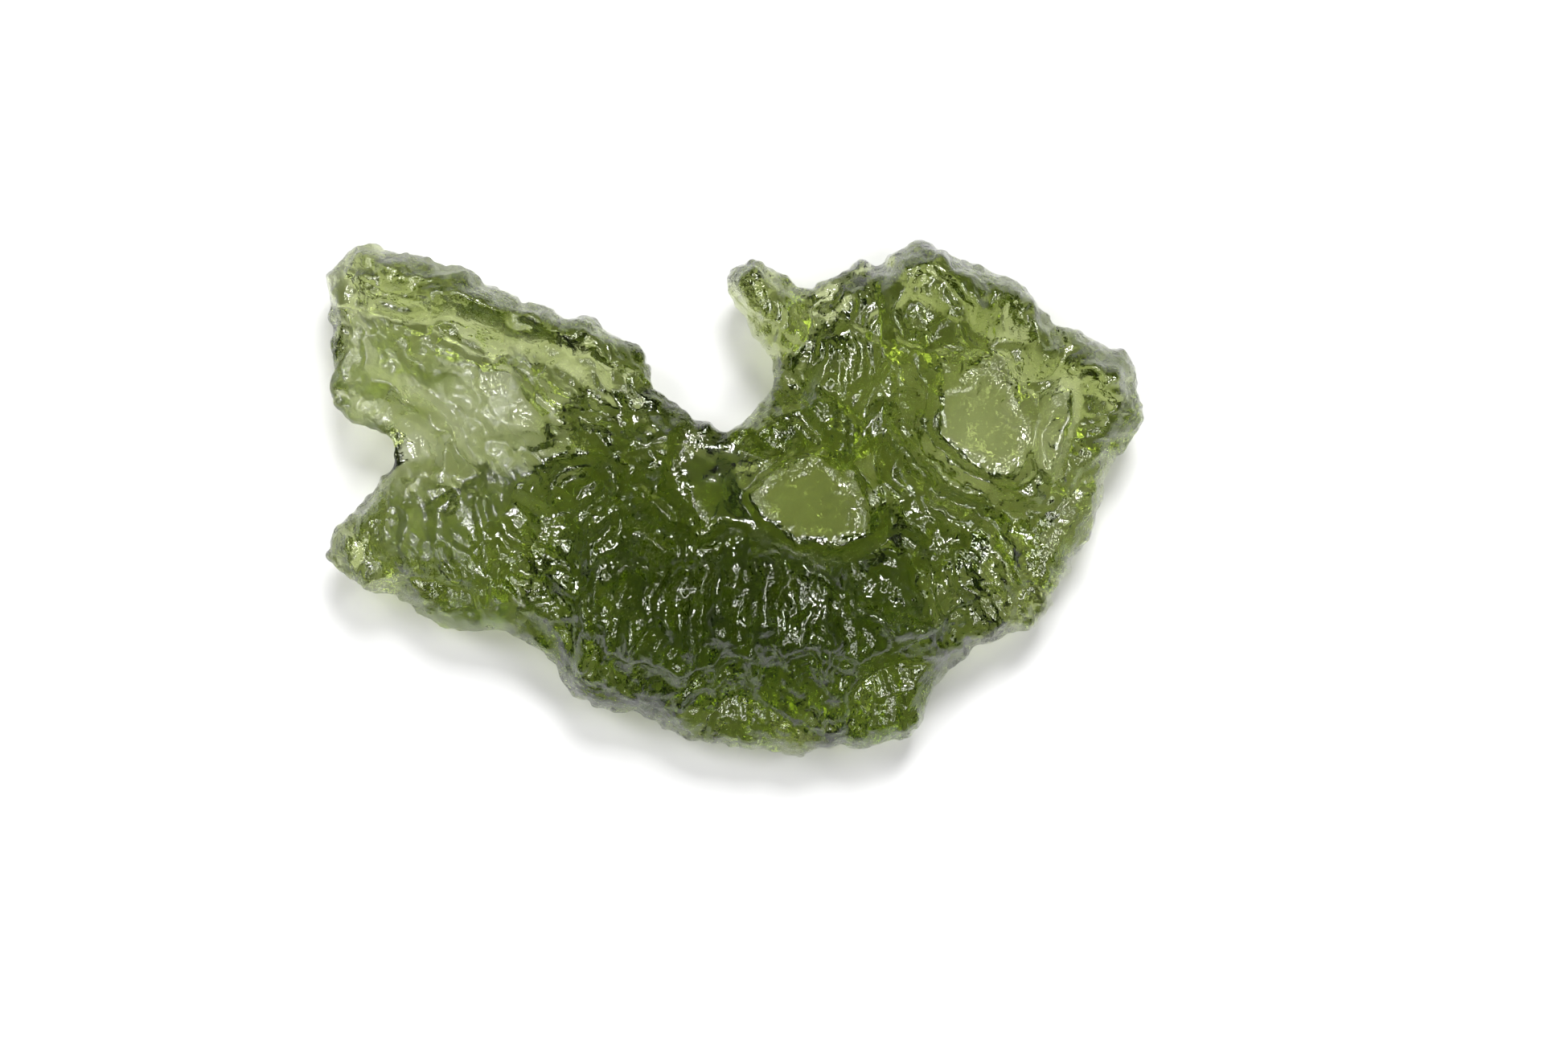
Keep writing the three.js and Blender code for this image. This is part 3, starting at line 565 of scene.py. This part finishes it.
def face_heights(places, inward):
    """Heights of the upper and the lower face, and how etched each is."""
    x, y = places.T
    plate_inward = depth_inside(warped(places), plate_edge)
    on_plate = smoothstep(plate_inward, -FLANGE_STEP / 2, FLANGE_STEP / 2)
    wave = RIM_WAVE * np.sin(RIM_WAVE_TURNS[0] * x + RIM_WAVE_TURNS[1] * y)
    rim = blend(FLANGE_RIM_LEVEL, RIM_LEVEL + wave, on_plate)
    height, cut = relief(places, TOP)
    basin, oval = basin_surface(places, TOP_BASINS, 1)
    terrain = TOP_LEVEL + height - cut
    etched_top = etching(terrain - basin, oval)
    plate_top = -soft_max(-terrain, -basin)
    flange_cut = sum(flute_depth(x, y, flutes) for flutes in TOP_FLUTES)
    flange_top = FLANGE_TOP - FLANGE_FLUTES * flange_cut
    height, cut = relief(places, UNDER)
    basin, oval = basin_surface(places, UNDER_BASINS, -1)
    belly = np.maximum(UNDER_LEVEL - height - FLANGE_SAG * (1 - on_plate), BELLY_LEVEL) + cut
    etched_under = UNDER_ETCH + (1 - UNDER_ETCH) * etching(basin - belly, oval)
    full_under = np.minimum(soft_max(belly, basin), rim)
    rounding = edge_rounding(inward)
    plate = rim + (plate_top - rim) * rounding
    flange = rim + (flange_top - rim) * rounding
    under = rim + (full_under - rim) * rounding
    top = blend(flange, plate, edge_rounding(np.maximum(plate_inward, 0)))
    return np.maximum(top, under + LEAST_THICKNESS * rounding), under, etched_top, etched_under


def flat_mesh():
    """Points and triangles that fill the outline: rings along the rim, an even grid inside them."""
    ring = outline
    ahead, behind = np.roll(ring, -1, axis=0), np.roll(ring, 1, axis=0)
    run = ahead - behind
    inward_way = np.column_stack([run[:, 1], -run[:, 0]]) / np.hypot(*run.T)[:, None]
    layers = [ring]
    for inset in RIM_RINGS:
        moved = ring + inward_way * inset
        keep = depth_inside(moved, ring) > RING_SHARE * inset
        layers.append(moved[keep])
    low, high = ring.min(0) - GRID, ring.max(0) + GRID
    rows = np.arange(low[1], high[1], GRID * math.sqrt(3) / 2)
    columns = np.arange(low[0], high[0], GRID)
    grid_x, grid_y = np.meshgrid(columns, rows)
    grid_x = grid_x + (np.arange(len(rows)) % 2)[:, None] * GRID / 2
    grid = np.column_stack([grid_x.ravel(), grid_y.ravel()])
    grid = grid[is_inside(grid, ring)]
    clear = RIM_RINGS[-1] + RIM_GAP * GRID
    grid = grid[nearest_on_chain(grid, ring, closed=True)[0] > clear]
    places = np.vstack([*layers, grid])
    edge = [(i, (i + 1) % len(ring)) for i in range(len(ring))]
    made = delaunay_2d_cdt([Vector(p) for p in places], edge, [], 1, MERGE)
    places = np.array([tuple(p) for p in made[0]])
    triangles = np.array([tuple(f) for f in made[2]])
    a, b, c = (places[triangles[:, k]] for k in range(3))
    turned_over = np.cross(b - a, c - a) < 0
    triangles[turned_over] = triangles[turned_over][:, ::-1]
    inward = nearest_on_chain(places, ring, closed=True)[0]
    inward[inward < SNAP] = 0
    triangles = triangles[(inward[triangles] > 0).any(1)]
    return places, triangles, inward


def vertex_normals(points, triangles):
    """Normals of the points, each face counted by its area."""
    a, b, c = (points[triangles[:, k]] for k in range(3))
    face = np.cross(b - a, c - a)
    normals = np.zeros_like(points)
    for k in range(3):
        for axis in range(3):
            normals[:, axis] += np.bincount(triangles[:, k], face[:, axis], len(points))
    return normals / np.maximum(np.linalg.norm(normals, axis=1), 1e-12)[:, None]


def stone_surface():
    """The closed surface, of which the upper and the lower face share their rim points."""
    places, triangles, inward = flat_mesh()
    top, under, etched_top, etched_under = face_heights(places, inward)
    count = len(places)
    points = np.vstack([np.column_stack([places, top]), np.column_stack([places, under])])
    lower_index = np.where(inward > 0, np.arange(count) + count, np.arange(count))
    surface = np.vstack([triangles, lower_index[triangles[:, ::-1]]])
    near_rim = 1 + RIM_ETCH[1] * np.exp(-inward / RIM_ETCH[0])
    roughened = np.concatenate([etched_top * near_rim, etched_under * near_rim])
    used = np.unique(surface)
    renumber = np.zeros(2 * count, int)
    renumber[used] = np.arange(len(used))
    return points[used], renumber[surface], roughened[used]


def add_attribute(mesh, name, values):
    """Gives the mesh a value at each vertex, for the material."""
    attribute = mesh.attributes.new(name, "FLOAT", "POINT")
    attribute.data.foreach_set("value", values.astype(np.float32))


def stone():
    """The whole stone: its surface with the grain, ground flat, and its two attributes."""
    points, triangles, roughened = stone_surface()
    share = LEAST_GRAIN + (1 - LEAST_GRAIN) * np.minimum(roughened, MOST_GRAIN_ETCH)
    grain = waves(points, GRAIN, GRAIN_SEED) * share
    points = points + vertex_normals(points, triangles) * grain[:, None]
    points[:, 2] = np.maximum(points[:, 2], 0)
    middle = (points[:, :2].min(0) + points[:, :2].max(0)) / 2
    cad_middle = np.array((cad_low + cad_high)[:2]) / 2 / MM
    points[:, :2] += cad_middle - middle
    mesh = bpy.data.meshes.new("moldavite_glass")
    mesh.from_pydata((points * MM).tolist(), [], triangles.tolist())
    add_attribute(mesh, "etch", roughened)
    patches = smoothstep(noise(points[:, :2] / SATIN_WAVE, SATIN_SEED), *SATIN_PATCH)
    add_attribute(mesh, "satin", patches * smoothstep(points[:, 0], *SATIN_SIDE))
    mesh.validate()
    mesh.shade_smooth()
    piece = bpy.data.objects.new("moldavite_glass", mesh)
    bpy.context.scene.collection.objects.link(piece)
    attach(piece, "root")
    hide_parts("moldavite")
    return piece


def node(tree, kind, **values):
    """A new shader node with constant values, where _ stands for a space in a socket's name."""
    made = tree.nodes.new(kind)
    for name, value in values.items():
        made.inputs[name.replace("_", " ")].default_value = value
    return made


def attribute(tree, name):
    """A vertex attribute of the stone, as a socket."""
    made = tree.nodes.new("ShaderNodeAttribute")
    made.attribute_name = name
    return made.outputs["Fac"]


def roughness(tree, place):
    """Even on the basins' floors. On etched faces in patches of gloss, duller under the satin."""
    link = tree.links.new
    patches = node(tree, "ShaderNodeTexNoise", Scale=GLOSS_SCALE, Detail=4.0, Roughness=0.6)
    link(place, patches.inputs["Vector"])
    gloss = node(tree, "ShaderNodeMapRange", From_Min=GLOSS_NOISE[0], From_Max=GLOSS_NOISE[1])
    gloss.inputs["To Min"].default_value, gloss.inputs["To Max"].default_value = GLOSS_ROUGHNESS
    link(patches.outputs["Fac"], gloss.inputs["Value"])
    dulled = tree.nodes.new("ShaderNodeMath")
    dulled.operation = "MULTIPLY_ADD"
    dulled.inputs[1].default_value = SATIN_ROUGHNESS
    link(attribute(tree, "satin"), dulled.inputs[0])
    link(gloss.outputs["Result"], dulled.inputs[2])
    rough = node(tree, "ShaderNodeMix", A=BASIN_ROUGHNESS)
    link(dulled.outputs["Value"], rough.inputs["B"])
    link(attribute(tree, "etch"), rough.inputs["Factor"])
    return rough.outputs["Result"]


def pitting(tree, place):
    """Fine pits, stronger where the stone is etched."""
    link = tree.links.new
    pits = node(tree, "ShaderNodeTexNoise", Scale=PIT_SCALE, Detail=2.0, Roughness=0.6)
    link(place, pits.inputs["Vector"])
    rise = node(tree, "ShaderNodeMapRange", From_Max=MOST_ETCH)
    rise.inputs["To Min"].default_value, rise.inputs["To Max"].default_value = PIT_STRENGTH
    link(attribute(tree, "etch"), rise.inputs["Value"])
    bump = node(tree, "ShaderNodeBump", Distance=PIT_DEPTH)
    link(pits.outputs["Fac"], bump.inputs["Height"])
    link(rise.outputs["Result"], bump.inputs["Strength"])
    return bump.outputs["Normal"]


def green_glass():
    """Clear green natural glass, finely etched, and smooth on the floors of its basins."""
    material = bpy.data.materials.new("green_glass")
    material.use_nodes = True
    tree = material.node_tree
    tree.nodes.clear()
    link = tree.links.new
    place = tree.nodes.new("ShaderNodeTexCoord").outputs["Object"]
    shader = node(tree, "ShaderNodeBsdfPrincipled", IOR=GLASS_IOR, Transmission_Weight=1.0)
    shader.inputs["Base Color"].default_value = (1, 1, 1, 1)
    link(roughness(tree, place), shader.inputs["Roughness"])
    link(pitting(tree, place), shader.inputs["Normal"])
    depth = node(tree, "ShaderNodeVolumeAbsorption", Density=ABSORPTION, Color=GLASS_COLOUR)
    out = tree.nodes.new("ShaderNodeOutputMaterial")
    link(shader.outputs["BSDF"], out.inputs["Surface"])
    link(depth.outputs["Volume"], out.inputs["Volume"])
    return material


def floor():
    """The plain pale floor of the studio."""
    mesh = bpy.data.meshes.new("floor")
    corners = [(-1, -1), (1, -1), (1, 1), (-1, 1)]
    corners = [(x * FLOOR_HALF, y * FLOOR_HALF, -FLOOR_DROP) for x, y in corners]
    mesh.from_pydata(corners, [], [(0, 1, 2, 3)])
    plane = bpy.data.objects.new("floor", mesh)
    bpy.context.scene.collection.objects.link(plane)
    material = bpy.data.materials.new("floor_paper")
    material.use_nodes = True
    shader = material.node_tree.nodes["Principled BSDF"]
    shader.inputs["Base Color"].default_value = (FLOOR_GREY, FLOOR_GREY, FLOOR_GREY, 1)
    shader.inputs["Roughness"].default_value = FLOOR_ROUGHNESS
    mesh.materials.append(material)


def area_light(name, azimuth, elevation, power):
    """A square soft light aimed at the stone, azimuth from +Y towards +X."""
    light = bpy.data.lights.new(name, "AREA")
    light.shape = "SQUARE"
    light.size = LAMP_SIZE
    light.energy = power
    lamp = bpy.data.objects.new(name, light)
    turn, rise = math.radians(azimuth), math.radians(elevation)
    flat = math.cos(rise)
    way = Vector((math.sin(turn) * flat, math.cos(turn) * flat, math.sin(rise)))
    lamp.location = way * LAMP_DISTANCE
    lamp.rotation_euler = way.to_track_quat("Z", "Y").to_euler()
    bpy.context.scene.collection.objects.link(lamp)


def lights():
    """A dim white world, and the lamps around the stone."""
    world = bpy.data.worlds.new("studio")
    world.use_nodes = True
    background = world.node_tree.nodes["Background"]
    background.inputs["Color"].default_value = (1, 1, 1, 1)
    background.inputs["Strength"].default_value = WORLD_STRENGTH
    bpy.context.scene.world = world
    for name, azimuth, elevation, share in LAMPS:
        area_light(name, azimuth, elevation, LAMP_POWER * share)


def camera():
    """Looks straight down, with the stone as wide in the frame as in the photo."""
    data = bpy.data.cameras.new("camera")
    data.lens = LENS
    data.sensor_width = SENSOR
    eye = bpy.data.objects.new("camera", data)
    frame_width = PHOTO_COLUMNS / STONE_COLUMNS * STONE_LENGTH * MM
    distance = frame_width * data.lens / data.sensor_width
    x, y = FRAME_MIDDLE
    eye.location = (x * MM, y * MM, FOCUS_LEVEL * MM + distance)
    bpy.context.scene.collection.objects.link(eye)
    bpy.context.scene.camera = eye


piece = stone()
piece.data.materials.append(green_glass())
floor()
lights()
camera()

scene = bpy.context.scene
scene.view_settings.view_transform = "Standard"
scene.cycles.use_denoising = True
scene.cycles.transmission_bounces = 16
scene.cycles.max_bounces = 20
